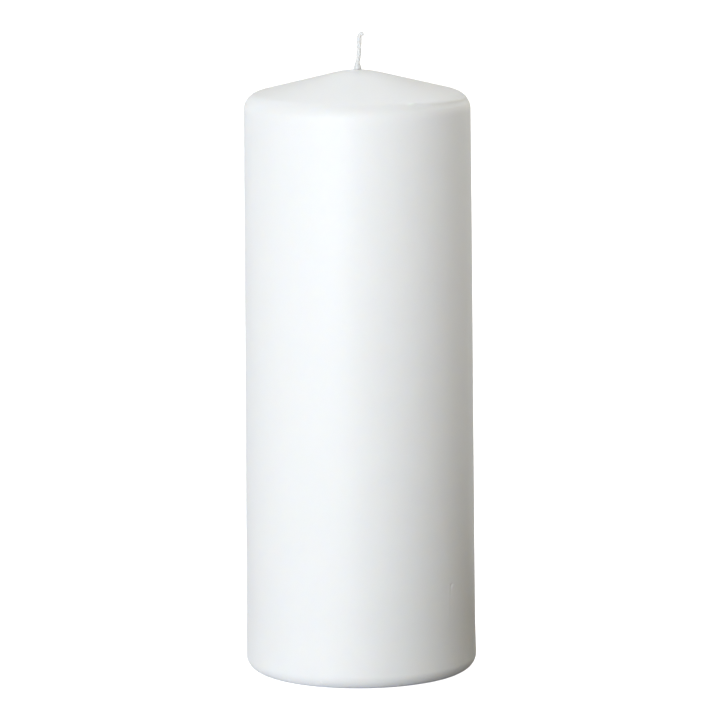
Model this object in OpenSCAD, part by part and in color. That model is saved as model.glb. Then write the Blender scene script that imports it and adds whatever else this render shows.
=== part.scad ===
// Unity candle: a pressed paraffin pillar with an overdipped wax coat, a three-strand braided cotton wick
// and a tinplate wick sustainer sealed into the base. Millimetres, +Z up, origin at the centre of the base.

/* [Body] */
// Diameter over the foot, where the coat is widest
foot_d = 76.2; // [66:0.1:92]
// Height from the base to the small flat that the wick leaves from
candle_h = 198.7; // [150:0.1:250]
// Draft of each side, which lets the pressed core out of its die
draft_deg = 0.25; // [0:0.05:0.6]
// Radius of the shoulder
shoulder_r = 5.8; // [4:0.1:10]
// Slope of the conical top
top_slope_deg = 14.3; // [8:0.1:22]
// Radius that rounds the apex of the cone
apex_r = 34; // [20:1:60]
// Radius of the edge between the side and the base
base_edge_r = 4.6; // [3:0.1:8]

/* [Coat] */
// Thickness of the overdipped coat
coat_t = 1.4; // [0.8:0.1:2.4]
// How far the coat thickens at the foot, where it ran down before it set
foot_run = 0.25; // [0.05:0.05:0.6]
// Height at which that thickening has died away
foot_run_h = 17; // [12:1:30]
// Width of the coat's ring on the base, left when the base was levelled
base_ring_w = 4; // [2:0.5:8]
// How deep the coat ran into the mouth of the wick bore
mouth_depth = 5; // [2:0.5:12]

/* [Wick] */
// Diameter of the bore that the die pin leaves through the core
bore_d = 3.2; // [3:0.1:5]
// Diameter of each of the wick's three strands
strand_d = 0.44; // [0.36:0.01:0.52]
// Length over which the braid repeats
plait_pitch = 8; // [7:0.5:14]
// Height of the wick above the wax
wick_proud = 12.4; // [9:0.1:20]
// Lean of the exposed wick towards +X
wick_lean_deg = 2.9; // [0:0.1:6]
// Radius of the hooked tip, at the middle of the wick
hook_r = 0.72; // [0.7:0.01:1.5]
// How far the tip turns over
hook_turn_deg = 200; // [90:5:215]
// Straight end of the hook
tail_l = 0.5; // [0.2:0.1:1.5]
// Thickness of the wax on the exposed wick
sheath_t = 0.08; // [0.05:0.01:0.2]
// How far the drop of wax at the wick's root stands out from the sheath
root_drop_t = 0.6; // [0.1:0.05:1]
// Height of that drop
root_drop_h = 2.6; // [1:0.1:4]

/* [Sustainer] */
// Diameter of the tinplate disc
disc_d = 20; // [12:0.5:30]
// Thickness of the tinplate
plate_t = 0.3; // [0.2:0.05:0.6]
// Height of the neck above the disc
neck_h = 8; // [4:0.5:14]
// Radius of the bend from the disc into the neck
neck_bend_r = 0.8; // [0.4:0.1:1.5]
// Depth of the crimp on each side of the neck
crimp_depth = 0.12; // [0.05:0.01:0.15]
// Depth of the recess in the base of the core
recess_depth = 1.8; // [1.2:0.1:3]
// Width of the seal's rim around the disc
seal_rim = 1; // [0.4:0.1:3]
// How far the seal sank at its centre as it set
seal_sink = 0.5; // [0.1:0.1:0.9]

/* [Fits] */
// Least gap between two strands
strand_gap = 0.02; // [0.01:0.01:0.05]
// Gap between the braid and whatever it runs through
wick_clearance = 0.03; // [0.02:0.01:0.1]

/* [Hidden] */
$fn = 96;
arc_steps = 14;           // flats in each arc of the lathe outlines
eps = 0.01;               // overlap of a cutter with the face that it cuts through

// The braid: each strand swings sideways along Y once, and through the thickness along X twice, in each pitch.
strands = 3;
rise_share = 1.66;        // least distance between two strands, as a multiple of their swing along X
plait_x = (strand_d + strand_gap) / rise_share;
plait_y = 1.25 * strand_d;
braid_half_x = plait_x + strand_d / 2;
braid_half_y = plait_y + strand_d / 2;
mouth_r = braid_half_y + wick_clearance;

// The body
side_r = foot_d / 2 - foot_run;                     // radius of the drafted side where the foot's run begins
edge_c = [foot_d / 2 - base_edge_r, base_edge_r];   // centre of the base edge's arc
run_slope_deg = atan(foot_run / (foot_run_h - base_edge_r));
land_r = mouth_r + sheath_t + root_drop_t + 0.3;    // flat at the apex, which the wick's wax stands on
dome_c = [0, candle_h - sqrt(apex_r * apex_r - land_r * land_r)];
cone_tip_h = dome_c[1] + apex_r / cos(top_slope_deg);
shoulder_c = shoulder_centre();

// The wick's route, in the X-Z plane: each stretch is [length, degrees turned towards +X].
wick_start = recess_depth - plate_t;
hook_top = hook_r + braid_half_x + wick_clearance + sheath_t;
root_l = 0.6;
lean_l = 2;
stem_l = wick_proud - root_l - lean_l - hook_top;
hook_l = PI * hook_r * hook_turn_deg / 180;
route = [
    [candle_h - wick_start + root_l, 0],
    [lean_l, wick_lean_deg],
    [stem_l, 0],
    [hook_l, hook_turn_deg],
    [tail_l, 0]
];
root_s = candle_h - wick_start;                     // length of wick below the wax's surface
hook_s = root_s + root_l + lean_l + stem_l;         // length of wick up to the hook
wick_l = hook_s + hook_l + tail_l;
tip_wax_t = sheath_t + wick_clearance;              // wax beyond the ends of the strands

// ---- outlines -------------------------------------------------------------------------------------------

// Points along an arc, from angle a to angle b.
function arc(c, r, a, b, n = arc_steps) = [for (i = [0:n]) let (t = a + (b - a) * i / n) c + r * [cos(t), sin(t)]];

// Radius of the drafted side at a height, moved in by some thickness.
function side_at(z, inset = 0) = side_r - inset / cos(draft_deg) - (z - foot_run_h) * tan(draft_deg);

// The shoulder's arc touches both the drafted side and the cone, so its centre is where their offsets cross.
function shoulder_centre() =
    let (
        slope = tan(top_slope_deg),
        cone_z = cone_tip_h - shoulder_r / cos(top_slope_deg),
        side_x = side_r - shoulder_r / cos(draft_deg) + foot_run_h * tan(draft_deg),
        x = (side_x - cone_z * tan(draft_deg)) / (1 - slope * tan(draft_deg))
    )
    [x, cone_z - slope * x];

// The outline above the base edge, from the foot up to radius end_r near the axis, moved in by a thickness.
function upper_outline(inset, end_r) = concat(
    arc(edge_c, base_edge_r - inset, -90, run_slope_deg),
    [[side_at(foot_run_h, inset), foot_run_h]],
    arc(shoulder_c, shoulder_r - inset, draft_deg, 90 - top_slope_deg),
    arc(dome_c, apex_r - inset, 90 - top_slope_deg, acos(end_r / (apex_r - inset)))
);

// The same points in the opposite order.
function reversed(list) = [for (i = [len(list) - 1:-1:0]) list[i]];

core_chamfer = [edge_c[0] - base_ring_w, 0];        // where the levelled base meets the coat's ring
recess_r = disc_d / 2 + seal_rim;
neck_r = mouth_r + plate_t;
flare_r = max(bore_d / 2, neck_r + neck_bend_r + wick_clearance);  // countersink of the bore, clear of the bend
core_outline = upper_outline(coat_t, bore_d / 2);
coat_outline = upper_outline(0, land_r);

// ---- sweeps along the wick ------------------------------------------------------------------------------

// [x, z, heading] after one stretch: heading is the turn from +Z towards +X.
function after(pose, length, turn) =
    let (h = pose[2])
    turn == 0
        ? pose + [length * sin(h), length * cos(h), 0]
        : let (r = length * 180 / (PI * turn))
          pose + [r * (cos(h) - cos(h + turn)), r * (sin(h + turn) - sin(h)), turn];

// [x, z, heading] of the wick's middle at a length s from its lower end.
function pose_at(s, i = 0, pose = [0, wick_start, 0]) =
    i == len(route) || s <= 0
        ? pose
        : let (length = route[i][0], turn = route[i][1])
          s < length
              ? after(pose, s, turn * s / length)
              : pose_at(s - length, i + 1, after(pose, length, turn));

// The point at an offset [x, y] from the wick's middle, x in the plane of the route and y along Y.
function beside(s, offset) =
    let (p = pose_at(s), h = p[2])
    [p[0] + offset[0] * cos(h), offset[1], p[1] - offset[0] * sin(h)];

// A ring of points round the wick's middle: a rounded rectangle of half widths rx and ry.
corner_power = 0.62;
function bulge(v) = sign(v) * pow(abs(v), corner_power);
function ring(s, rx, ry, sides) =
    [for (i = [0:sides - 1]) let (t = 360 * i / sides) beside(s, [rx * bulge(cos(t)), ry * bulge(sin(t))])];

// A ring round one strand, in the plane across the wick.
strand_sides = 6;
function strand_middle(k, s) =
    let (t = 360 * (s / plait_pitch + k / strands))
    [plait_x * sin(2 * t), plait_y * sin(t)];
function strand_ring(k, s) =
    [for (i = [0:strand_sides - 1])
        let (t = 360 * i / strand_sides)
        beside(s, strand_middle(k, s) + strand_d / 2 * [cos(t), sin(t)])];

// Lengths at which rings are set: about evenly along the straight, and closer together round the hook.
function spread(a, b, step) = let (n = ceil((b - a) / step)) [for (i = [0:n]) a + (b - a) * i / n];
rings_a_pitch = 12;
hook_step = 0.2;

// Side faces between consecutive rings of n points, with the first point at index first.
function band(rings, n, first = 0, flip = false) =
    [for (r = [0:rings - 2], i = [0:n - 1])
        let (a = first + r * n + i, b = first + r * n + (i + 1) % n)
        flip ? [a, a + n, b + n, b] : [a, b, b + n, a + n]];

// A closed tube through rings of points.
module skin(rings) {
    n = len(rings[0]);
    last = (len(rings) - 1) * n;
    polyhedron(
        points = [for (r = rings) each r],
        faces = concat(
            band(len(rings), n, flip = true),
            [[for (i = [0:n - 1]) i]],
            [[for (i = [n - 1:-1:0]) last + i]]
        ),
        convexity = 10
    );
}

// A tube with a hollow that is open at its first ring and closed at its last.
module pocket(outer, inner) {
    n = len(outer[0]);
    m = len(outer) * n;
    outer_last = m - n;
    inner_last = m + (len(inner) - 1) * n;
    polyhedron(
        points = [for (r = concat(outer, inner)) each r],
        faces = concat(
            band(len(outer), n, flip = true),
            [[for (i = [n - 1:-1:0]) outer_last + i]],
            band(len(inner), n, first = m),
            [[for (i = [0:n - 1]) inner_last + i]],
            [for (i = [0:n - 1]) let (j = (i + 1) % n) [i, j, m + j, m + i]]
        ),
        convexity = 10
    );
}

// ---- sub-parts ------------------------------------------------------------------------------------------

// Compressed wax granules, with the bore left by the die pin and a recess for the sustainer.
module pressed_core() {
    color([0.95, 0.94, 0.90])
        rotate_extrude()
            polygon(concat(
                [[recess_r, 0], core_chamfer],
                core_outline,
                [[bore_d / 2, recess_depth + neck_bend_r], [flare_r, recess_depth], [recess_r, recess_depth]]
            ));
}

// The hard white coat: over the top, down the side, round the base edge, and a little way into the bore.
module outer_coat() {
    land_z = coat_outline[len(coat_outline) - 1][1];
    core_top = core_outline[len(core_outline) - 1];
    color("white")
        rotate_extrude()
            polygon(concat(
                [core_chamfer],
                coat_outline,
                [[mouth_r, land_z], [mouth_r, core_top[1] - mouth_depth], core_top - [0, mouth_depth]],
                reversed(core_outline)
            ));
}

// One of the three plaited cotton strands, from the sustainer to the hooked tip.
module wick_strand(k) {
    straight = spread(0, hook_s, plait_pitch / rings_a_pitch);
    hooked = spread(hook_s, wick_l - tip_wax_t, hook_step);
    stations = concat(straight, [for (i = [1:len(hooked) - 1]) hooked[i]]);
    color("floralwhite")
        skin([for (s = stations) strand_ring(k, s)]);
}

// Wax that stiffens the exposed wick, with the drop at its root. The strands run up inside it.
module wick_wax_sheath() {
    sides = 20;
    stem_step = 0.6;
    inner_x = braid_half_x + wick_clearance;
    inner_y = braid_half_y + wick_clearance;
    low = spread(root_s, hook_s, stem_step);
    high = spread(hook_s, wick_l, hook_step);
    stations = concat(low, [for (i = [1:len(high) - 1]) high[i]]);
    hollow = [for (s = stations) if (s < wick_l - tip_wax_t / 2) s];
    drop = function (s) let (u = min(1, (s - root_s) / root_drop_h)) root_drop_t * (1 - u) * (1 - u * u);
    color([0.97, 0.97, 0.97])
        pocket(
            [for (s = stations) ring(s, inner_x + sheath_t + drop(s), inner_y + sheath_t + drop(s), sides)],
            [for (s = hollow) ring(min(s, wick_l - tip_wax_t), inner_x, inner_y, sides)]
        );
}

// Tinplate disc with a drawn neck that is crimped onto the wick.
module wick_sustainer() {
    crimp_r = 1.5;
    crimp_z = recess_depth + neck_h * 0.7;
    color("silver")
        difference() {
            rotate_extrude()
                polygon(concat(
                    [[mouth_r, wick_start], [disc_d / 2, wick_start], [disc_d / 2, recess_depth]],
                    arc([neck_r + neck_bend_r, recess_depth + neck_bend_r], neck_bend_r, 270, 180, 8),
                    [[neck_r, recess_depth + neck_h], [mouth_r, recess_depth + neck_h]]
                ));
            for (side = [-1, 1])
                translate([side * (neck_r + crimp_r - crimp_depth), 0, crimp_z])
                    rotate([90, 0, 0])
                        cylinder(r = crimp_r, h = 2 * neck_r + 2 * eps, center = true);
        }
}

// Wax poured over the disc to close the recess. Its face sank a little as it set.
module base_seal() {
    dish_r = (recess_r * recess_r + seal_sink * seal_sink) / (2 * seal_sink);
    rim_z = 0.15;
    dish_half_deg = asin(recess_r / dish_r);
    color([0.93, 0.93, 0.90])
        rotate_extrude()
            polygon(concat(
                arc([0, rim_z + seal_sink - dish_r], dish_r, 90, 90 - dish_half_deg, 10),
                [[recess_r, recess_depth], [disc_d / 2, recess_depth], [disc_d / 2, wick_start], [0, wick_start]]
            ));
}

pressed_core();
outer_coat();
wick_strand(0);  // wick_strand_1
wick_strand(1);  // wick_strand_2
wick_strand(2);  // wick_strand_3
wick_wax_sheath();
wick_sustainer();
base_seal();
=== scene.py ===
# %% [markdown]
# # A white unity candle
#
# A unity candle is the tall plain pillar that a couple light together. It is pressed from wax granules
# round a pin, threaded with a plaited wick, sealed underneath, and dipped in a hard white wax that gives
# it its skin. This lesson takes the packed model of that candle as a fixed frame and gives each piece the
# shape and the finish that the maker's tools leave. Everything is in metres, with the origin at the
# middle of the base.

# %% Load the frame
from math import acos, ceil, copysign, cos, exp, hypot, pi, radians, sin, sqrt, tan

import bmesh
import bpy
from mathutils import Matrix, Vector, noise


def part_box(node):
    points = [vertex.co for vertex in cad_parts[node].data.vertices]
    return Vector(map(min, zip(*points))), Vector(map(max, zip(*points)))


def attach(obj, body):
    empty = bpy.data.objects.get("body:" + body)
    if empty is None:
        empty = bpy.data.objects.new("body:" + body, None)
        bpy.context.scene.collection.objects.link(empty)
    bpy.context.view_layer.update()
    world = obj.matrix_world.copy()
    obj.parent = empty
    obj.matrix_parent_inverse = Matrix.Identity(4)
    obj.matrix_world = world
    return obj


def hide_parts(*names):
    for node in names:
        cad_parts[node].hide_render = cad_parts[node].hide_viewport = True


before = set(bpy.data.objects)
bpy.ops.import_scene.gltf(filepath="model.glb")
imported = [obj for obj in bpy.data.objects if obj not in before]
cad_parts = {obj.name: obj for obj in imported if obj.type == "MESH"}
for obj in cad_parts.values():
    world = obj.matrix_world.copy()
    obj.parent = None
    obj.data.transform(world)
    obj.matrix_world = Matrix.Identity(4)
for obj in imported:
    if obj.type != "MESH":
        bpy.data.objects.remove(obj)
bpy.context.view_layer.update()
scene = bpy.context.scene
MM = 0.001

# %% [markdown]
# ## Sizes from the frame
#
# The main sizes aren't typed in twice. The boxes of the packed nodes give the radius of the foot, the
# height of the wax and the thickness of the coat, and the rest of the lesson works from them. Only what a
# box can't show, such as the radius of the shoulder, is repeated from the design.

# %% Read the boxes
CORE_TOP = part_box("pressed_core")[1]
COAT_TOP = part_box("outer_coat")[1]
FOOT_R = COAT_TOP[0]
CANDLE_H = COAT_TOP[2]
COAT_T = CANDLE_H - CORE_TOP[2]
DRAFT = radians(0.25)
SHOULDER_R = 5.8 * MM
TOP_SLOPE = radians(14.3)
APEX_R = 34 * MM
BASE_EDGE_R = 4.6 * MM
BASE_RING_W = 4 * MM
FOOT_RUN = 0.25 * MM
FOOT_RUN_H = 17 * MM
print("foot radius", round(FOOT_R / MM, 2), "mm, wax height", round(CANDLE_H / MM, 2), "mm")
print("coat", round(COAT_T / MM, 2), "mm thick")

# %% [markdown]
# ## Camera
#
# A long lens far away keeps the sides of a tall candle nearly parallel. The camera looks down by a little
# less than ten degrees, just enough to show the cone of the top and to round the foot. It is rolled by
# under half a degree, as a hand-held picture is.

# %% Camera
CAMERA_FAR = 1805 * MM
CAMERA_ABOVE = radians(9.54)
CAMERA_ROLL = radians(-0.44)
AIM = Vector((0.3, 0, 102.86)) * MM
LENS = 274.26
SENSOR_W = 36

camera_data = bpy.data.cameras.new("studio_camera")
camera_data.lens = LENS
camera_data.sensor_width = SENSOR_W
camera_data.clip_start = 0.05
camera_data.clip_end = 50
camera = bpy.data.objects.new("studio_camera", camera_data)
scene.collection.objects.link(camera)
camera.location = (0, -CAMERA_FAR * cos(CAMERA_ABOVE), CANDLE_H / 2 + CAMERA_FAR * sin(CAMERA_ABOVE))
upright = (AIM - camera.location).to_track_quat("-Z", "Y").to_matrix().to_4x4()
camera.rotation_euler = (upright @ Matrix.Rotation(CAMERA_ROLL, 4, "Z")).to_euler()
scene.camera = camera
print("camera at", [round(v, 3) for v in camera.location])

# %% [markdown]
# ## Studio
#
# White wax is lit like an egg. The sheet that it stands on glows as a light table does, and a pale warm
# room surrounds it. One broad window from the front left, cooler than the room, models the form, and the
# right side falls away into a warm grey. Two high lamps and a weak overhead one set how bright the cone
# is beside the shoulder. Two cards behind, one on each side, brighten the edges so that they don't turn
# dark against the paper. The picture is shown without a film curve, because a curve would grey the
# whites.

# %% Studio lights
LIGHTS = {
    # name: (bearing, elevation, distance, width, height, watts, colour)
    "window": (-22, 6, 1.6, 0.8, 1.4, 20.3, (0.855, 0.925, 1.0)),
    "high_front": (-30, 48, 1.6, 1.0, 1.0, 1.3, (0.90, 0.95, 1.0)),
    "overhead": (0, 86, 1.6, 1.4, 1.4, 1.7, (0.05, 0.42, 1.0)),
    "high_back": (-172, 50, 1.6, 1.2, 1.0, 6.2, (0.83, 0.90, 1.0)),
    "back_left_card": (-140, 10, 1.6, 1.0, 1.6, 4.6, (0.67, 0.81, 1.0)),
    "back_right_card": (140, 10, 1.6, 1.0, 1.6, 4.3, (0.93, 1.0, 0.93)),
}
ROOM = (0.488, 0.452, 0.385)


def bearing_point(bearing, elevation, far):
    """A place seen from the candle's middle: bearing 0 is towards the camera and 90 is towards +X."""
    b = radians(bearing)
    e = radians(elevation)
    return Vector((sin(b) * cos(e), -cos(b) * cos(e), sin(e))) * far + Vector((0, 0, CANDLE_H / 2))


for name, (bearing, elevation, far, width, height, watts, colour) in LIGHTS.items():
    lamp = bpy.data.lights.new(name, "AREA")
    lamp.shape = "RECTANGLE"
    lamp.size = width
    lamp.size_y = height
    lamp.energy = watts
    lamp.color = colour
    lamp_object = bpy.data.objects.new(name, lamp)
    scene.collection.objects.link(lamp_object)
    lamp_object.location = bearing_point(bearing, elevation, far)
    towards = Vector((0, 0, CANDLE_H / 2)) - lamp_object.location
    lamp_object.rotation_euler = towards.to_track_quat("-Z", "Y").to_euler()

scene.view_settings.view_transform = "Standard"
world = bpy.data.worlds.new("studio_room")
scene.world = world
world.use_nodes = True
room_light = world.node_tree.nodes["Background"]
room_light.inputs["Color"].default_value = (*ROOM, 1)
paper = world.node_tree.nodes.new("ShaderNodeBackground")
paper.inputs["Color"].default_value = (1, 1, 1, 1)
seen = world.node_tree.nodes.new("ShaderNodeLightPath")
either = world.node_tree.nodes.new("ShaderNodeMixShader")
world.node_tree.links.new(seen.outputs["Is Camera Ray"], either.inputs["Fac"])
world.node_tree.links.new(room_light.outputs["Background"], either.inputs[1])
world.node_tree.links.new(paper.outputs["Background"], either.inputs[2])
world.node_tree.links.new(either.outputs["Shader"], world.node_tree.nodes["World Output"].inputs["Surface"])
print("lights:", ", ".join(LIGHTS))

# %% [markdown]
# ## Mixing finishes
#
# A finish is a small sum: so much noise, less where the mask is, times a depth. Written as nodes it is
# hard to read, so a Wire wraps the output of a node and Python's own operators add the Math nodes.

# %% Wire and Finish


class Wire:
    """An output that can be used in sums. Each operator adds one Math node."""

    def __init__(self, finish, socket):
        self.finish = finish
        self.socket = socket

    def maths(self, operation, *values):
        return self.finish.node("ShaderNodeMath", {"operation": operation}, dict(enumerate(values)))

    def __add__(self, other):
        return self.maths("ADD", self, other)

    __radd__ = __add__

    def __sub__(self, other):
        return self.maths("SUBTRACT", self, other)

    def __rsub__(self, other):
        return self.maths("SUBTRACT", other, self)

    def __mul__(self, other):
        return self.maths("MULTIPLY", self, other)

    __rmul__ = __mul__

    def smooth(self, low, high):
        """0 below low, 1 above high, and an even curve between them."""
        settings = {"interpolation_type": "SMOOTHSTEP"}
        sockets = {"Value": self, "From Min": low, "From Max": high}
        return self.finish.node("ShaderNodeMapRange", settings, sockets)


class Finish:
    """A material in the making, with one shader and the nodes that feed it."""

    def __init__(self, name):
        self.material = bpy.data.materials.new(name)
        self.material.use_nodes = True
        self.tree = self.material.node_tree
        self.shader = self.tree.nodes["Principled BSDF"]
        self.place = self.node("ShaderNodeTexCoord", output="Object")

    def node(self, kind, settings=None, values=None, output=0):
        made = self.tree.nodes.new(kind)
        for key, value in (settings or {}).items():
            setattr(made, key, value)
        for key, value in (values or {}).items():
            self.feed(made.inputs[key], value)
        return Wire(self, made.outputs[output])

    def feed(self, socket, value):
        if isinstance(value, Wire):
            self.tree.links.new(value.socket, socket)
        else:
            socket.default_value = value

    def set(self, **sockets):
        """Feed the shader's own sockets, by name with underscores for spaces."""
        for key, value in sockets.items():
            self.feed(self.shader.inputs[key.replace("_", " ")], value)

    def drawn(self, stretch):
        """The place on the surface, squeezed or drawn out along an axis."""
        return self.node("ShaderNodeVectorMath", {"operation": "MULTIPLY"}, {0: self.place, 1: stretch})

    def noise(self, size, detail=2.0, rough=0.5, stretch=(1, 1, 1)):
        """Noise whose grains are about size across."""
        sockets = {"Vector": self.drawn(stretch), "Scale": 1 / size, "Detail": detail, "Roughness": rough}
        return self.node("ShaderNodeTexNoise", None, sockets)

    def grains(self, size):
        """Distance to the edge of the nearest cell, in a packing of cells about size across."""
        settings = {"feature": "DISTANCE_TO_EDGE"}
        return self.node("ShaderNodeTexVoronoi", settings, {"Vector": self.place, "Scale": 1 / size})

    def blend(self, share, first, second):
        """A colour between two, by share."""
        return self.node("ShaderNodeMix", {"data_type": "RGBA"}, {0: share, 6: first, 7: second}, output=2)

    def bump(self, height, depth, under=None):
        """A normal from a height that runs from 0 to 1 over a depth in metres, on top of another normal."""
        values = {"Height": height, "Distance": depth, "Strength": 1.0}
        if under:
            values["Normal"] = under
        return self.node("ShaderNodeBump", None, values)


print("a Finish has the methods", ", ".join(key for key in vars(Finish) if not key.startswith("_")))

# %% [markdown]
# ## Floor
#
# The floor is a wide white sheet that isn't part of the object. What the camera sees of it is paper
# bright enough to be pure white, so no shade shows on it. What the candle sees of it is the glow of a
# light table, held back on the right by a dark cloth that keeps the shadow side from filling in, and less
# on the left by a small grey one. A mix shader chooses between the two by the kind of ray that arrives.

# %% Floor
FLOOR_HALF = 6
PAPER_GLOW = 1.0
TABLE_GLOW = (0.081, 0.092, 0.131)
TABLE_PAINT = (0.73, 0.73, 0.73, 1)
CLOTH_PAINT = (0.03, 0.025, 0.015, 1)
CLOTHS = (
    # place, radius, and how dark
    ((0.230, -0.045, 0), 0.215, 1.0),
    ((-0.150, 0.02, 0), 0.105, 0.2),
)
CLOTH_EDGE = 0.05
floor_mesh = bpy.data.meshes.new("studio_floor")
floor_corners = [(x * FLOOR_HALF, y * FLOOR_HALF, 0) for x, y in ((-1, -1), (1, -1), (1, 1), (-1, 1))]
floor_mesh.from_pydata(floor_corners, [], [(0, 1, 2, 3)])
studio_floor = bpy.data.objects.new("studio_floor", floor_mesh)
scene.collection.objects.link(studio_floor)

sheet = Finish("pale_floor")
sheet.set(Base_Color=(0.8, 0.8, 0.8, 1), Roughness=0.9, Specular_IOR_Level=0.0)
sheet.set(Emission_Color=(1, 1, 1, 1), Emission_Strength=PAPER_GLOW)
cloth = 0
for centre, radius, dark in CLOTHS:
    ends = {0: sheet.place, 1: centre}
    away = sheet.node("ShaderNodeVectorMath", {"operation": "DISTANCE"}, ends, output=1)
    cloth = (1 - away.smooth(radius - CLOTH_EDGE, radius + CLOTH_EDGE)) * dark + cloth
paint = sheet.node("ShaderNodeBsdfDiffuse", None, {"Color": sheet.blend(cloth, TABLE_PAINT, CLOTH_PAINT)})
glow = sheet.node("ShaderNodeEmission", None, {"Color": sheet.blend(cloth, (*TABLE_GLOW, 1), (0, 0, 0, 1))})
table = sheet.node("ShaderNodeAddShader", None, {0: paint, 1: glow})
seen_paper = Wire(sheet, sheet.shader.outputs["BSDF"])
camera_ray = sheet.node("ShaderNodeLightPath", output="Is Camera Ray")
sheet_mix = sheet.node("ShaderNodeMixShader", None, {0: camera_ray, 1: table, 2: seen_paper})
sheet.feed(sheet.tree.nodes["Material Output"].inputs["Surface"], sheet_mix)
floor_mesh.materials.append(sheet.material)
print("the sheet is", 2 * FLOOR_HALF, "m wide")

# %% [markdown]
# ## The dipped coat
#
# The core is pushed through a bath of hard white wax, hung to drain, and set down. The skin copies the
# die's cone and shoulder, keeps a slight waviness, thickens towards the foot where it ran, and is flat
# underneath where the base was levelled on a hot plate. A modifier could bend a smooth lathe, but a real
# relief is easier to reason about: each point of the outline is turned round the axis and moved along its
# own normal by the height of the wax there. First comes the outline, as arcs joined by straight runs.

# %% The outline of the body


def arc(centre, radius, start, end, steps):
    """Points along an arc, in the plane of radius and height. Angles are in radians."""
    turns = [start + (end - start) * i / steps for i in range(steps + 1)]
    return [(centre[0] + radius * cos(t), centre[1] + radius * sin(t)) for t in turns]


def body_outline(inset, end_r, steps):
    """The outline above the base edge, from the foot to a radius near the axis, moved in by a thickness."""
    side_r = FOOT_R - FOOT_RUN
    edge = (FOOT_R - BASE_EDGE_R, BASE_EDGE_R)
    dome_z = CANDLE_H - sqrt(APEX_R ** 2 - LAND_R ** 2)
    cone_z = dome_z + (APEX_R - SHOULDER_R) / cos(TOP_SLOPE)
    side_x = side_r - SHOULDER_R / cos(DRAFT) + FOOT_RUN_H * tan(DRAFT)
    shoulder_x = (side_x - cone_z * tan(DRAFT)) / (1 - tan(TOP_SLOPE) * tan(DRAFT))
    shoulder = (shoulder_x, cone_z - shoulder_x * tan(TOP_SLOPE))
    return (
        arc(edge, BASE_EDGE_R - inset, -pi / 2, FOOT_RUN / (FOOT_RUN_H - BASE_EDGE_R), steps)
        + [(side_r - inset / cos(DRAFT), FOOT_RUN_H)]
        + arc(shoulder, SHOULDER_R - inset, DRAFT, pi / 2 - TOP_SLOPE, steps)
        + arc((0, dome_z), APEX_R - inset, pi / 2 - TOP_SLOPE, acos(end_r / (APEX_R - inset)), steps)
    )


def evenly(points, step):
    """The same path with points about a step apart, where the step is a function of the height."""
    path = [points[0]]
    for (r0, z0), (r1, z1) in zip(points, points[1:]):
        length = hypot(r1 - r0, z1 - z0)
        done = 0
        while done < length:
            here = step(z0 + (z1 - z0) * done / length)
            done = length if length - done < 1.4 * here else done + here
            path.append((r0 + (r1 - r0) * done / length, z0 + (z1 - z0) * done / length))
    return path


LAND_R = 1.8 * MM
print("the outline ends at", [round(v / MM, 2) for v in body_outline(0, LAND_R, 4)[-1]], "mm")

# %% [markdown]
# ### Relief of the skin
#
# Several things shape a dipped skin. It waves gently, because the core wasn't perfectly round and the wax
# drained unevenly. On the shoulder it folded once, where the candle left the bath after the edge of the
# wax had set. It was knocked once near the foot. Flakes of the skirt that was trimmed off cling to the
# base edge, and the wax climbs a little way up the wick. Each is a small function of a bearing, a radius
# and a height, all in metres and radians, and the skin is their sum.

# %% Relief


def bell(distance, width):
    """1 at no distance, falling away over a width."""
    return exp(-((distance / width) ** 2))


def ramp(value, low, high):
    """0 below low, 1 above high, and a smooth step between them."""
    t = min(1, max(0, (value - low) / (high - low)))
    return t * t * (3 - 2 * t)


def turned(bearing, radius):
    """X and Y of a point at a bearing from the viewer's side."""
    return sin(bearing) * radius, -cos(bearing) * radius


WAVE_HIGH = 0.10 * MM
DRAIN_HIGH = 0.022 * MM


def waves(x, y, z):
    """Slow waves of the core's own shape, and faint vertical ones where the wax drained."""
    broad = noise.noise(Vector((x / 0.052 + 3.1, y / 0.052, z / 0.080)))
    drained = noise.noise(Vector((x / 0.016, y / 0.016 + 7.7, z / 0.110)))
    return WAVE_HIGH * broad + DRAIN_HIGH * drained


FOLD_START = radians(26)
FOLD_DATUM = radians(30)
FOLD_END = radians(100)
FOLD_LIP = radians(31.5)
# How far below the top the fold lies at its datum, and how it sinks from there for each radian.
FOLD_DROP = 8.1 * MM
FOLD_SINK = 0.55 * MM
FOLD_SAG = 0.25 * MM
FOLD_HIGH = 0.30 * MM
FOLD_DEEP = 0.14 * MM


def fold(bearing, z):
    """An edge, soft above and steep below, that sinks as it runs round the shoulder and dies out."""
    along = ramp(bearing, FOLD_START, FOLD_START + 0.1) * (1 - ramp(bearing, FOLD_END - 0.35, FOLD_END))
    if along == 0 or z < CANDLE_H - 16 * MM:
        return 0
    on = bearing - FOLD_DATUM
    above = z - (CANDLE_H - FOLD_DROP - FOLD_SINK * on - FOLD_SAG * on * on)
    crest = FOLD_HIGH * bell(above, 0.8 * MM if above > 0 else 0.33 * MM)
    hollow = FOLD_DEEP * bell(above + 0.9 * MM, 0.6 * MM)
    raised = ramp(bearing, FOLD_LIP - 0.05, FOLD_LIP) * (1 - ramp(bearing, FOLD_LIP, FOLD_LIP + 0.1))
    return along * (crest - hollow) + FOLD_HIGH * raised * bell(above - 0.15 * MM, 0.3 * MM)


KNOCK_BEARING = radians(51.3)
KNOCK_H = 31.7 * MM
KNOCK_R = 0.5 * MM
DENT_DEEP = 0.24 * MM
TAIL_DEEP = 0.10 * MM
PUSHED_HIGH = 0.09 * MM
RUN_HIGH = 0.035 * MM


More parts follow.
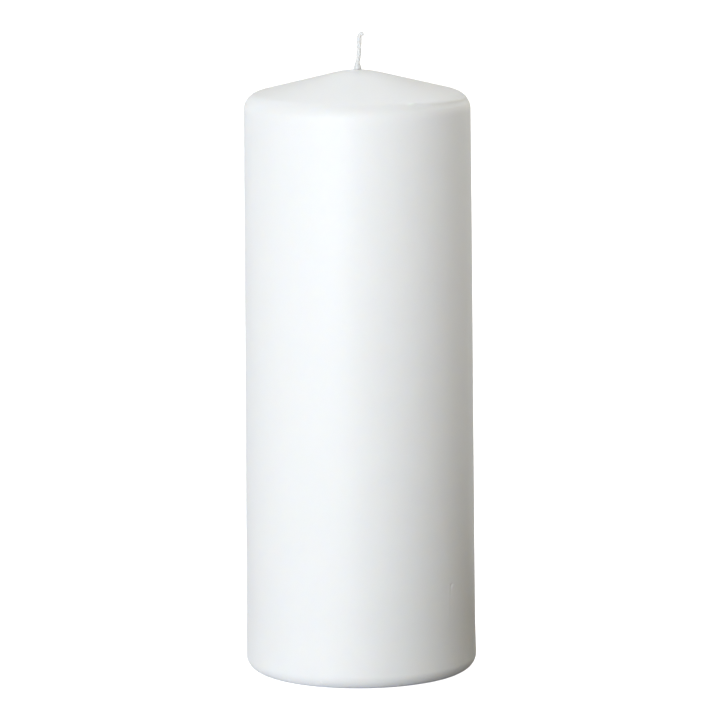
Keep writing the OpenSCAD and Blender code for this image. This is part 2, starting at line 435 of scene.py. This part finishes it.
def knock(bearing, z):
    """A small dent with a tail, the wax it pushed up, and a thin run of wax below it."""
    across = (bearing - KNOCK_BEARING) * FOOT_R
    down = KNOCK_H - z
    if abs(across) > 4 * MM or abs(down) > 18 * MM:
        return 0
    dent = bell(hypot(across, down), KNOCK_R)
    tail = bell(hypot(across - 0.7 * MM, down + 0.5 * MM), KNOCK_R)
    pushed = bell(hypot(across + 0.9 * MM, down + 0.3 * MM), KNOCK_R)
    run = bell(across + 1.2 * MM, KNOCK_R) * ramp(down, 0.5 * MM, 3 * MM) * (1 - ramp(down, 8 * MM, 16 * MM))
    return PUSHED_HIGH * pushed - DENT_DEEP * dent - TAIL_DEEP * tail + RUN_HIGH * run


# Flakes on the base edge: bearing in degrees, height in millimetres.
FLAKES = ((-39.6, 1.1), (-27.1, 1.2), (-20.6, 2.3), (19.2, 1.0), (97.0, 1.3), (168.0, 0.9), (-118.0, 1.6))
FLAKE_HIGH = 0.24 * MM
FLAKE_R = 0.34 * MM
TRIM_HIGH = 0.05 * MM


def trimmed(bearing, z):
    """Flakes and faint roughness along the base edge."""
    if z > 4 * MM:
        return 0
    x, y = turned(bearing, FOOT_R)
    rough = noise.noise(Vector((x / 0.0026, y / 0.0026, z / 0.0011))) * (1 - ramp(z, 0.5 * MM, 1.6 * MM))
    flakes = 0
    for side, height in FLAKES:
        across = (bearing - radians(side)) * FOOT_R
        if abs(across) < 2 * MM:
            flakes += bell(hypot(across, 0.7 * (z - height * MM)), FLAKE_R)
    return TRIM_HIGH * max(0, rough) + FLAKE_HIGH * flakes


COLLAR_HIGH = 0.20 * MM
COLLAR_RIM_HIGH = 0.12 * MM


def skin(bearing, r, z):
    """Height of the wax over the outline."""
    x, y = turned(bearing, r)
    settled = ramp(z, 0, 6 * MM) * ramp(r, 2 * MM, 9 * MM)
    climbed = COLLAR_HIGH * bell(r, 3.6 * MM) + COLLAR_RIM_HIGH * bell(r - 1.4 * MM, 0.6 * MM)
    up_the_wick = climbed if z > CANDLE_H - 10 * MM else 0
    return settled * waves(x, y, z) + fold(bearing, z) + knock(bearing, z) + trimmed(bearing, z) + up_the_wick


tallest = max(skin(radians(b), FOOT_R, CANDLE_H / 2) for b in range(360))
print("halfway up, the skin stands", round(tallest / MM, 3), "mm proud at most")

# %% [markdown]
# ### Turning the outline
#
# The lathe below joins the outline's points into rings. It takes the relief of each stretch as a
# function, so the same lathe later turns the core and the seal. Rings are closer together where the wax
# bends, and bearings are closer together near the small marks, which keeps the mesh light everywhere
# else. Nothing goes below the surface that the candle stands on.

# %% Lathe


def slopes(path):
    """The outward normal at each point of a path that runs anticlockwise round the section."""
    found = []
    for before, after in zip([path[-1]] + path, path[1:] + [path[0]]):
        dr, dz = after[0] - before[0], after[1] - before[1]
        size = hypot(dr, dz)
        found.append((dz / size, -dr / size))
    return found


def all_round(count, close_ups=(), reach=radians(1.6), step=radians(0.24)):
    """Bearings all the way round, closer together within reach of each close-up."""
    evenly_spaced = [2 * pi * k / count - pi for k in range(count)]
    kept = [b for b in evenly_spaced if all(abs(b - place) > reach for place in close_ups)]
    half = round(reach / step)
    for place in close_ups:
        kept += [place + step * k for k in range(-half, half + 1)]
    return sorted(kept)


def lathe(name, stretches, bearings):
    """Turn a closed section, given as (points, relief) stretches, into an object."""
    path = [point for points, relief in stretches for point in points]
    reliefs = [relief for points, relief in stretches for point in points]
    verts = []
    for (r, z), (nr, nz), relief in zip(path, slopes(path), reliefs):
        if r == 0:
            nr, nz = 0, copysign(1, nz)
        for bearing in bearings:
            rise = relief(bearing, r, z) if relief else 0
            x, y = turned(bearing, r + nr * rise)
            verts.append((x, y, max(0, z + nz * rise)))
    around = len(bearings)
    rings = len(path)
    faces = []
    for i in range(rings):
        for k in range(around):
            a, b = i * around + k, i * around + (k + 1) % around
            c, d = (i + 1) % rings * around + (k + 1) % around, (i + 1) % rings * around + k
            faces.append((a, b, c, d))
    mesh = bpy.data.meshes.new(name)
    mesh.from_pydata(verts, [], faces)
    welded = bmesh.new()
    welded.from_mesh(mesh)
    bmesh.ops.remove_doubles(welded, verts=welded.verts, dist=0.0005 * MM)
    bmesh.ops.dissolve_degenerate(welded, edges=welded.edges, dist=0.0005 * MM)
    bmesh.ops.recalc_face_normals(welded, faces=welded.faces)
    welded.to_mesh(mesh)
    welded.free()
    mesh.polygons.foreach_set("use_smooth", [True] * len(mesh.polygons))
    made = bpy.data.objects.new(name, mesh)
    scene.collection.objects.link(made)
    print(name, "has", rings, "rings of", around, "points")
    return made


print("one close-up brings 300 bearings to", len(all_round(300, [0])))

# %% [markdown]
# ### The coat as one shell
#
# The coat has a thickness, because the core inside it is a piece of its own. So the section that is
# turned goes over the outside from the base to the wick, down the mouth of the bore, and back down the
# inside. Only the outside takes the relief, and the flat ring that the candle stands on closes it.

# %% Turn the coat
MOUTH_R = 0.8 * MM
MOUTH_DEPTH = 5 * MM
BORE_R = 1.6 * MM
RING_EDGE = (FOOT_R - BASE_EDGE_R - BASE_RING_W, 0)


def skin_step(z):
    """How far apart the rings of the skin are, at a height."""
    if abs(z - KNOCK_H) < 1.8 * MM:
        return 0.15 * MM
    return 0.7 * MM if z > CANDLE_H - 12 * MM else 1.8 * MM


def level_plate(r0, r1, step):
    """Points along the base, from one radius to another."""
    count = ceil((r1 - r0) / step)
    return [(r0 + (r1 - r0) * i / count, 0) for i in range(count)]


outside = level_plate(RING_EDGE[0], FOOT_R - BASE_EDGE_R, 0.8 * MM)
outside += evenly(body_outline(0, LAND_R, 40), skin_step)
apex_z = outside[-1][1]
outside += [(r * MM, apex_z) for r in (1.5, 1.2, 0.95)]
inside = evenly(body_outline(COAT_T, BORE_R, 12), lambda z: 8 * MM)
mouth_z = inside[-1][1] - MOUTH_DEPTH
mouth = [(MOUTH_R, apex_z), (MOUTH_R, mouth_z), (BORE_R, mouth_z)]
marks = [radians(side) for side, height in FLAKES]
marks += [place + radians(turn) for place in (KNOCK_BEARING, FOLD_LIP) for turn in (-1.3, 1.3)]
bearings = all_round(300, marks, reach=radians(1.3))
coat = lathe("dipped_coat", [(outside, skin), (mouth + inside[::-1], None)], bearings)
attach(coat, "root")
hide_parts("outer_coat")

# %% [markdown]
# ### Finish of the coat
#
# Dipping wax is hard, white and slightly see-through, so light goes in, wanders a fraction of a
# millimetre and comes out: that is subsurface scattering, and it is what makes the edge of a candle look
# soft. Its surface is satin with a faint bloom. The tint varies so little that it is felt more than seen.

# %% Finish of the coat
dipped = Finish("dipped_wax")
clouds = dipped.noise(0.030, 3)
peel = dipped.noise(0.0011, 2, 0.55)
bloom = dipped.noise(0.006, 4, 0.6)
dipped.set(
    Base_Color=dipped.blend(clouds, (0.930, 0.936, 0.930, 1), (0.905, 0.912, 0.905, 1)),
    Roughness=bloom * 0.12 + 0.34,
    Subsurface_Weight=0.6,
    Subsurface_Radius=(1.0, 0.9, 0.75),
    Subsurface_Scale=0.0004,
    IOR=1.44,
    Normal=dipped.bump(peel, 0.000018, under=dipped.bump(bloom, 0.00004)),
)
coat.data.materials.append(dipped.material)
print("dipped wax has", len(dipped.tree.nodes), "nodes")

# %% [markdown]
# ## The wick
#
# A pillar's wick is a flat plait of three cotton strands. It was dipped with the candle, so the part that
# stands out is stiff with wax, leans a little, and has its tip folded over where it hung from the rack.
# One curve through a few listed points is its middle, and everything else follows that curve.

# %% Route of the wick
WICK_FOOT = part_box("wick_strand_1")[0][2] / MM
WAX_TOP = CANDLE_H / MM
# Points of the middle of the wick, in millimetres from the wax where it leaves: sideways and up.
STANDING = [
    (0.0, 0.0), (0.12, 1.0), (0.18, 2.2), (0.36, 3.2), (0.58, 4.2), (0.74, 5.6), (0.82, 7.4), (0.84, 9.2),
    (0.87, 10.4), (0.96, 11.2), (1.20, 11.85), (1.55, 11.98), (1.80, 11.62), (1.72, 11.1),
]


def between(p0, p1, p2, p3, t):
    """A Catmull-Rom curve from p1 to p2."""
    return tuple(
        0.5 * (2 * b + (c - a) * t + (2 * a - 5 * b + 4 * c - d) * t * t + (3 * b - a - 3 * c + d) * t ** 3)
        for a, b, c, d in zip(p0, p1, p2, p3)
    )


def standing_route(step):
    """The middle of the wick above the wax, with points about a step apart."""
    ends = [(0.0, -1.0)] + STANDING + [tuple(2 * b - a for a, b in zip(STANDING[-2], STANDING[-1]))]
    dense = []
    for i in range(1, len(ends) - 2):
        dense += [between(*ends[i - 1:i + 3], k / 24) for k in range(24)]
    dense.append(STANDING[-1])
    kept = [dense[0]]
    for point in dense[1:]:
        if hypot(point[0] - kept[-1][0], point[1] - kept[-1][1]) >= step:
            kept.append(point)
    return kept


def wick_route(step, from_height=WICK_FOOT):
    """The middle of the wick as (x, z, distance from its foot), from a height up to the tip."""
    below = WAX_TOP - from_height
    count = ceil(below / step)
    points = [(0.0, from_height + below * i / count) for i in range(count)]
    points += [(x, WAX_TOP + z) for x, z in standing_route(step)]
    length = from_height - WICK_FOOT
    route = [(*points[0], length)]
    for (x0, z0), (x1, z1) in zip(points, points[1:]):
        length += hypot(x1 - x0, z1 - z0)
        route.append((x1, z1, length))
    return route


TIP_S = wick_route(0.1)[-1][2]
print("the wick is", round(TIP_S, 1), "mm long, from its foot to its tip")

# %% [markdown]
# ### Three strands
#
# In a flat plait each strand swings from side to side once in every pitch, and through the thickness
# twice, a third of a pitch behind its neighbour: a figure of eight drawn out along the wick. Each strand
# is four yarns laid together, which the lobes of its section show, turning as they go.

# %% Sweep along the route
PITCH = 8.0
STRAND_R = 0.22
SWING_ACROSS = 0.28
SWING_WIDE = 0.56


def headings(route):
    """The direction of the route at each of its points, as a unit (x, z)."""
    found = []
    for before, after in zip([route[0]] + route, route[1:] + [route[-1]]):
        size = hypot(after[0] - before[0], after[1] - before[1])
        found.append(((after[0] - before[0]) / size, (after[1] - before[1]) / size))
    return found


def pinched(s):
    """The plait is pinched where it was folded over to hang."""
    return 1 - 0.42 * ramp(s, TIP_S - 3.6, TIP_S - 1.4)


def strand_middle(k, s):
    """Offset of strand k from the middle of the wick: across the thin way, and along the wide way."""
    t = 2 * pi * (s / PITCH + k / 3)
    return SWING_ACROSS * pinched(s) * sin(2 * t), SWING_WIDE * pinched(s) * sin(t)


def tube(rings):
    """Points and faces of a closed tube through rings that have the same number of points."""
    sides = len(rings[0])
    verts = [point for ring in rings for point in ring]
    faces = []
    for j in range(len(rings) - 1):
        for i in range(sides):
            m = (i + 1) % sides
            faces.append((j * sides + i, (j + 1) * sides + i, (j + 1) * sides + m, j * sides + m))
    faces.append(tuple(range(sides)))
    faces.append(tuple(len(verts) - 1 - i for i in range(sides)))
    return verts, faces


def sweep(route, middle, radius, sides):
    """A tube along the route, at an offset from it, whose radius may depend on the length and the angle."""
    rings = []
    for (x, z, s), (hx, hz) in zip(route, headings(route)):
        across, wide = middle(s)
        ring = []
        for i in range(sides):
            t = 2 * pi * i / sides
            u = across + radius(s, t) * cos(t)
            ring.append((x + u * hz, wide + radius(s, t) * sin(t), z - u * hx))
        rings.append(ring)
    return tube(rings)


def joined(name, shells, scale):
    """One object from several lists of points and faces."""
    verts, faces = [], []
    for shell_verts, shell_faces in shells:
        start = len(verts)
        verts += [(x * scale, y * scale, z * scale) for x, y, z in shell_verts]
        faces += [tuple(start + i for i in face) for face in shell_faces]
    mesh = bpy.data.meshes.new(name)
    mesh.from_pydata(verts, [], faces)
    tidy = bmesh.new()
    tidy.from_mesh(mesh)
    bmesh.ops.recalc_face_normals(tidy, faces=tidy.faces)
    tidy.to_mesh(mesh)
    tidy.free()
    mesh.polygons.foreach_set("use_smooth", [True] * len(faces))
    made = bpy.data.objects.new(name, mesh)
    scene.collection.objects.link(made)
    return made


# %% [markdown]
# ### Cotton
#
# The strands are almost hidden by their wax, but the plait's own edges show through as soft bumps. Cotton
# is matt, with a faint sheen from its loose fibres, and its noise is drawn out along the height so that
# it reads as fibres and not as grain.

# %% Cotton strands
YARNS = 4
LAY = 1.9
cotton = Finish("wick_cotton")
fibre = cotton.noise(0.00006, 2, 0.6, stretch=(1, 1, 0.25))
cotton.set(
    Base_Color=cotton.blend(fibre, (0.90, 0.89, 0.84, 1), (0.78, 0.76, 0.70, 1)),
    Roughness=fibre * 0.1 + 0.8,
    Sheen_Weight=0.4,
    Sheen_Roughness=0.5,
    Normal=cotton.bump(fibre, 0.00002),
)


def yarn_r(s, t):
    """Radius of a strand at an angle of its section: four lobes that turn once in each lay."""
    taper = 1 - 0.35 * ramp(s, TIP_S - 0.7, TIP_S)
    return STRAND_R * taper * pinched(s) * (0.90 + 0.10 * cos(YARNS * (t - 2 * pi * s / LAY)))


strand_route = wick_route(0.22)[:-3]
for k in range(3):
    swept = sweep(strand_route, lambda s: strand_middle(k, s), yarn_r, 16)
    strand = joined("cotton_strand_%d" % (k + 1), [swept], MM)
    strand.data.materials.append(cotton.material)
    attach(strand, "root")
    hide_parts("wick_strand_%d" % (k + 1))
    print(strand.name, "has", len(strand.data.vertices), "points")

# %% [markdown]
# ### Wax on the wick
#
# The wax bridges the hollows of the plait, which leaves a soft rope whose crossings just show. It
# gathered into a drop at the root, and left two pips on one edge. An oval filling, the three strands a
# little thicker than they are, the drop and the pips are remeshed together: a voxel remesh melts touching
# shapes into one skin, as wax does, and a few rounds of smoothing let it settle. Blender's voxels can't
# be smaller than a tenth of a millimetre, so the skin is made a thousand times too large and then shrunk.

# %% Wax on the wick
WAX_T = 0.22
FILL_ACROSS = 0.72
FILL_WIDE = 0.84
SETTLE_ROUNDS = 6
# The drop at the root, in millimetres: place along X, half width, and height above the wax.
DROP = [
    (0.26, 1.25, -0.6), (0.27, 1.33, 0.1), (0.22, 1.27, 0.5), (0.17, 1.24, 1.0), (0.17, 1.09, 1.55),
    (0.18, 0.90, 2.1), (0.23, 0.75, 2.7), (0.34, 0.62, 3.3),
]
# The pips, in millimetres: place along X, height above the wax, and radius.
PIPS = [(0.02, 5.0, 0.3), (0.05, 7.7, 0.3)]


def fullness(s):
    """How full the wax is along the wick: fuller under the fold, and drawn in at the folded tip."""
    below_tip = TIP_S - s
    swell = 1 + 0.13 * ramp(below_tip, 1.8, 2.8) * (1 - ramp(below_tip, 3.4, 5.5))
    return swell * (1 - 0.12 * (1 - ramp(below_tip, 1.2, 2.4))) * (1 - 0.34 * (1 - ramp(below_tip, 0, 0.6)))


def filling_r(s, t):
    """Radius of an oval at an angle."""
    return fullness(s) / hypot(cos(t) / FILL_ACROSS, sin(t) / FILL_WIDE)


def skinned_r(s, t):
    return STRAND_R * pinched(s) + WAX_T


def drop(sides=40):
    """The drop of wax at the root, slightly fuller on the side that faces the viewer."""
    rings = []
    turns = [2 * pi * i / sides for i in range(sides)]
    for x, r, z in DROP:
        swell = [r * (1 + 0.03 * sin(3 * 2 * pi * i / sides + 0.8)) for i in range(sides)]
        ring = [(x + w * cos(t), 1.08 * w * sin(t)) for t, w in zip(turns, swell)]
        rings.append([(px, py, WAX_TOP + z) for px, py in ring])
    return tube(rings)


def pip(x, z, r, sides=12):
    """A small ball of wax."""
    rings = []
    for tilt in (-75, -45, -15, 15, 45, 75):
        flat, up = r * cos(radians(tilt)), r * sin(radians(tilt))
        turns = [2 * pi * i / sides for i in range(sides)]
        rings.append([(x + flat * cos(t), flat * sin(t) - 0.2, WAX_TOP + z + up) for t in turns])
    return tube(rings)


exposed = wick_route(0.07, WAX_TOP - 0.4)
shells = [sweep(exposed, lambda s, k=k: strand_middle(k, s), skinned_r, 18) for k in range(3)]
shells.append(sweep(exposed, lambda s: (0, 0), filling_r, 24))
shells.append(drop())
shells += [pip(*place) for place in PIPS]
wax = joined("wick_wax", shells, 1.0)
melt = wax.modifiers.new("melt", "REMESH")
melt.mode = "VOXEL"
melt.voxel_size = 0.05
melt.use_smooth_shade = True
settle = wax.modifiers.new("settle", "SMOOTH")
settle.factor = 0.5
settle.iterations = SETTLE_ROUNDS
melted = bpy.data.meshes.new_from_object(wax.evaluated_get(bpy.context.evaluated_depsgraph_get()))
wax.modifiers.clear()
wax.data = melted
wax.data.transform(Matrix.Scale(MM, 4))
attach(wax, "root")
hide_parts("wick_wax_sheath")
print("the melted skin has", len(wax.data.vertices), "points")

# %% [markdown]
# ### Finish of the wick's wax
#
# This wax is thin and lit from every side, so light wanders further in it than in the coat. A slightly
# darker tint keeps the plait's bumps from being lost against the white behind them.

# %% Finish of the wick's wax
wick_wax = Finish("wick_wax")
lumps = wick_wax.noise(0.0005, 2)
wick_wax.set(
    Base_Color=wick_wax.blend(lumps, (0.77, 0.775, 0.78, 1), (0.73, 0.735, 0.74, 1)),
    Roughness=lumps * 0.1 + 0.4,
    Subsurface_Weight=1.0,
    Subsurface_Radius=(1.0, 0.95, 0.9),
    Subsurface_Scale=0.0014,
    IOR=1.44,
    Normal=wick_wax.bump(lumps, 0.00003),
)
wax.data.materials.clear()
wax.data.materials.append(wick_wax.material)
print("wick wax has", len(wick_wax.tree.nodes), "nodes")

# %% [markdown]
# ## The pressed core
#
# Under the coat the candle is pressed granules, and the base is where they show. The plate that levelled
# it melted their tops together, so the ring between the coat and the seal is flat, with the seams between
# granules as fine grooves and here and there a granule that pulled out. A cell pattern gives both: the
# difference between the two nearest centres is small along a seam, and each cell's own noise says how far
# that granule sank. The rest of the core is hidden, so a plain lathe with the wick's bore is enough
# there.

# %% Turn the core
SEAL_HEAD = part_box("base_seal")[1]
SEAL_R = SEAL_HEAD[0]
RECESS_DEPTH = SEAL_HEAD[2]
FLARE_R = 2.2 * MM
FLARE_TOP = RECESS_DEPTH + 0.8 * MM
GRANULE = 2.1 * MM
CLEARANCE = 0.02 * MM
SEAM_DEEP = 0.10 * MM
SUNK_DEEP = 0.16 * MM


def granules(bearing, r, z):
    """Depth of the seams and of the sunk granules in the levelled base."""
    x, y = turned(bearing, r)
    near, places = noise.voronoi(Vector((x, y, 0)) / GRANULE)
    seam = 1 - ramp(near[1] - near[0], 0.0, 0.30)
    sunk = ramp(noise.noise(places[0] * 7.3), 0.25, 0.55)
    inside_edges = ramp(r, SEAL_R, SEAL_R + 0.6 * MM) * (1 - ramp(r, RING_EDGE[0] - 0.6 * MM, RING_EDGE[0]))
    return -inside_edges * (SEAM_DEEP * seam + SUNK_DEEP * sunk)


levelled = level_plate(SEAL_R, RING_EDGE[0], 0.36 * MM) + [RING_EDGE]
core_side = evenly(body_outline(COAT_T + CLEARANCE, BORE_R, 12), lambda z: 8 * MM)
recess = [(BORE_R, FLARE_TOP), (FLARE_R, RECESS_DEPTH), (SEAL_R, RECESS_DEPTH)]
core = lathe("granule_core", [(levelled, granules), (core_side + recess, None)], all_round(400))
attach(core, "root")
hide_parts("pressed_core")

# %% [markdown]
# ### Finish of the core
#
# Pressed wax is warmer and duller than the dipped skin. Its granules are told apart by a thin darker line
# at each seam, and by a tint that drifts slowly over many of them.

# %% Finish of the core
pressed = Finish("pressed_wax")
seams = 1 - pressed.grains(0.0021).smooth(0.0, 0.16)
mottle = pressed.noise(0.0045, 3, 0.6)
frost = pressed.noise(0.0006, 2)
grain_tint = pressed.blend(mottle, (0.90, 0.89, 0.86, 1), (0.83, 0.82, 0.775, 1))
pressed.set(
    Base_Color=pressed.blend(seams * 0.5, grain_tint, (0.74, 0.73, 0.69, 1)),
    Roughness=frost * 0.2 + 0.45,
    Subsurface_Weight=0.4,
    Subsurface_Radius=(1.0, 0.9, 0.7),
    Subsurface_Scale=0.001,
    IOR=1.44,
    Normal=pressed.bump(frost, 0.00003),
)
core.data.materials.append(pressed.material)
print("pressed wax has", len(pressed.tree.nodes), "nodes")

# %% [markdown]
# ## The sustainer
#
# The wick is crimped into the neck of a tinplate disc, which sits in the roof of the recess. Its shape
# comes from the design as it is. Tinplate is rolled, so its grain runs one way: noise drawn out along one
# axis and fed to the roughness and the bump.

# %% Finish of the sustainer
tin = Finish("tinplate")
rolled = tin.noise(0.00025, 3, 0.6, stretch=(0.04, 1, 1))
dulled = tin.noise(0.004, 3, 0.6)
tin.set(
    Base_Color=tin.blend(dulled, (0.72, 0.72, 0.71, 1), (0.55, 0.55, 0.54, 1)),
    Metallic=1.0,
    Roughness=rolled * 0.18 + dulled * 0.12 + 0.16,
    Normal=tin.bump(rolled, 0.00001),
)
for material_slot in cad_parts["wick_sustainer"].material_slots:
    material_slot.material = tin.material
print("tinplate has", len(tin.tree.nodes), "nodes")

# %% [markdown]
# ## The seal
#
# Melted wax is poured over the disc to close the recess. It cools from the rim inwards and shrinks, so
# its face sinks in the middle, clings to the wall of the recess at its edge, and keeps faint rings where
# the cooling front paused. A few bubbles rose and burst near the middle.

# %% Turn the seal
SEAL_RIM_Z = 0.15 * MM
SEAL_SINK = 0.5 * MM
RING_PITCH = 1.5 * MM
SHEET_T = 0.3 * MM
DISC_R = 10 * MM
# Bubbles: bearing in radians, then place from the middle and width in millimetres.
BUBBLES = ((0.6, 1.9, 0.35), (2.4, 3.1, 0.5), (4.4, 2.6, 0.3), (5.3, 5.2, 0.45), (1.7, 6.0, 0.3))
PIT_DEEP = 0.12 * MM
PAUSE_HIGH = 0.012 * MM
SLOW_HIGH = 0.05 * MM
CLING_DEEP = 0.11 * MM


def poured(bearing, r, z):
    """Cooling rings, slow waves and burst bubbles in the face of the seal."""
    x, y = turned(bearing, r)
    paused = cos(2 * pi * r / RING_PITCH + 0.8 * sin(bearing)) * ramp(r, 1.5 * MM, 4 * MM)
    slow = noise.noise(Vector((x, y, 0)) / (3.5 * MM))
    pits = 0
    for turn, far, width in BUBBLES:
        px, py = turned(turn, far * MM)
        pits += bell(hypot(x - px, y - py), width * MM)
    away_from_wall = 1 - ramp(r, SEAL_R - 1.5 * MM, SEAL_R)
    return (PAUSE_HIGH * paused + SLOW_HIGH * slow) * away_from_wall - PIT_DEEP * pits


def face_z(r):
    """Height of the seal's sunk face at a radius, with the wax clinging to the wall."""
    return SEAL_RIM_Z + SEAL_SINK * (1 - (r / SEAL_R) ** 2) - CLING_DEEP * bell(SEAL_R - r, 0.4 * MM)


FACE_RINGS = 56
face = [(SEAL_R * i / FACE_RINGS, face_z(SEAL_R * i / FACE_RINGS)) for i in range(FACE_RINGS + 1)]
roof = RECESS_DEPTH - SHEET_T
back = [(SEAL_R, RECESS_DEPTH), (DISC_R, RECESS_DEPTH), (DISC_R, roof), (0, roof)]
seal = lathe("poured_seal", [(face, poured), (back, None)], all_round(180))
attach(seal, "root")
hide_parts("base_seal")

# %% [markdown]
# ### Finish of the seal
#
# Poured wax that was never touched again is the glossiest wax on the candle, with slow swirls in it.

# %% Finish of the seal
melted_wax = Finish("poured_wax")
swirl = melted_wax.noise(0.005, 4, 0.6)
skin_of_pour = melted_wax.noise(0.0008, 2)
melted_wax.set(
    Base_Color=melted_wax.blend(swirl, (0.90, 0.895, 0.87, 1), (0.84, 0.83, 0.79, 1)),
    Roughness=swirl * 0.14 + 0.2,
    Subsurface_Weight=0.6,
    Subsurface_Radius=(1.0, 0.9, 0.7),
    Subsurface_Scale=0.0012,
    IOR=1.44,
    Normal=melted_wax.bump(skin_of_pour, 0.000012),
)
seal.data.materials.append(melted_wax.material)
print("poured wax has", len(melted_wax.tree.nodes), "nodes")
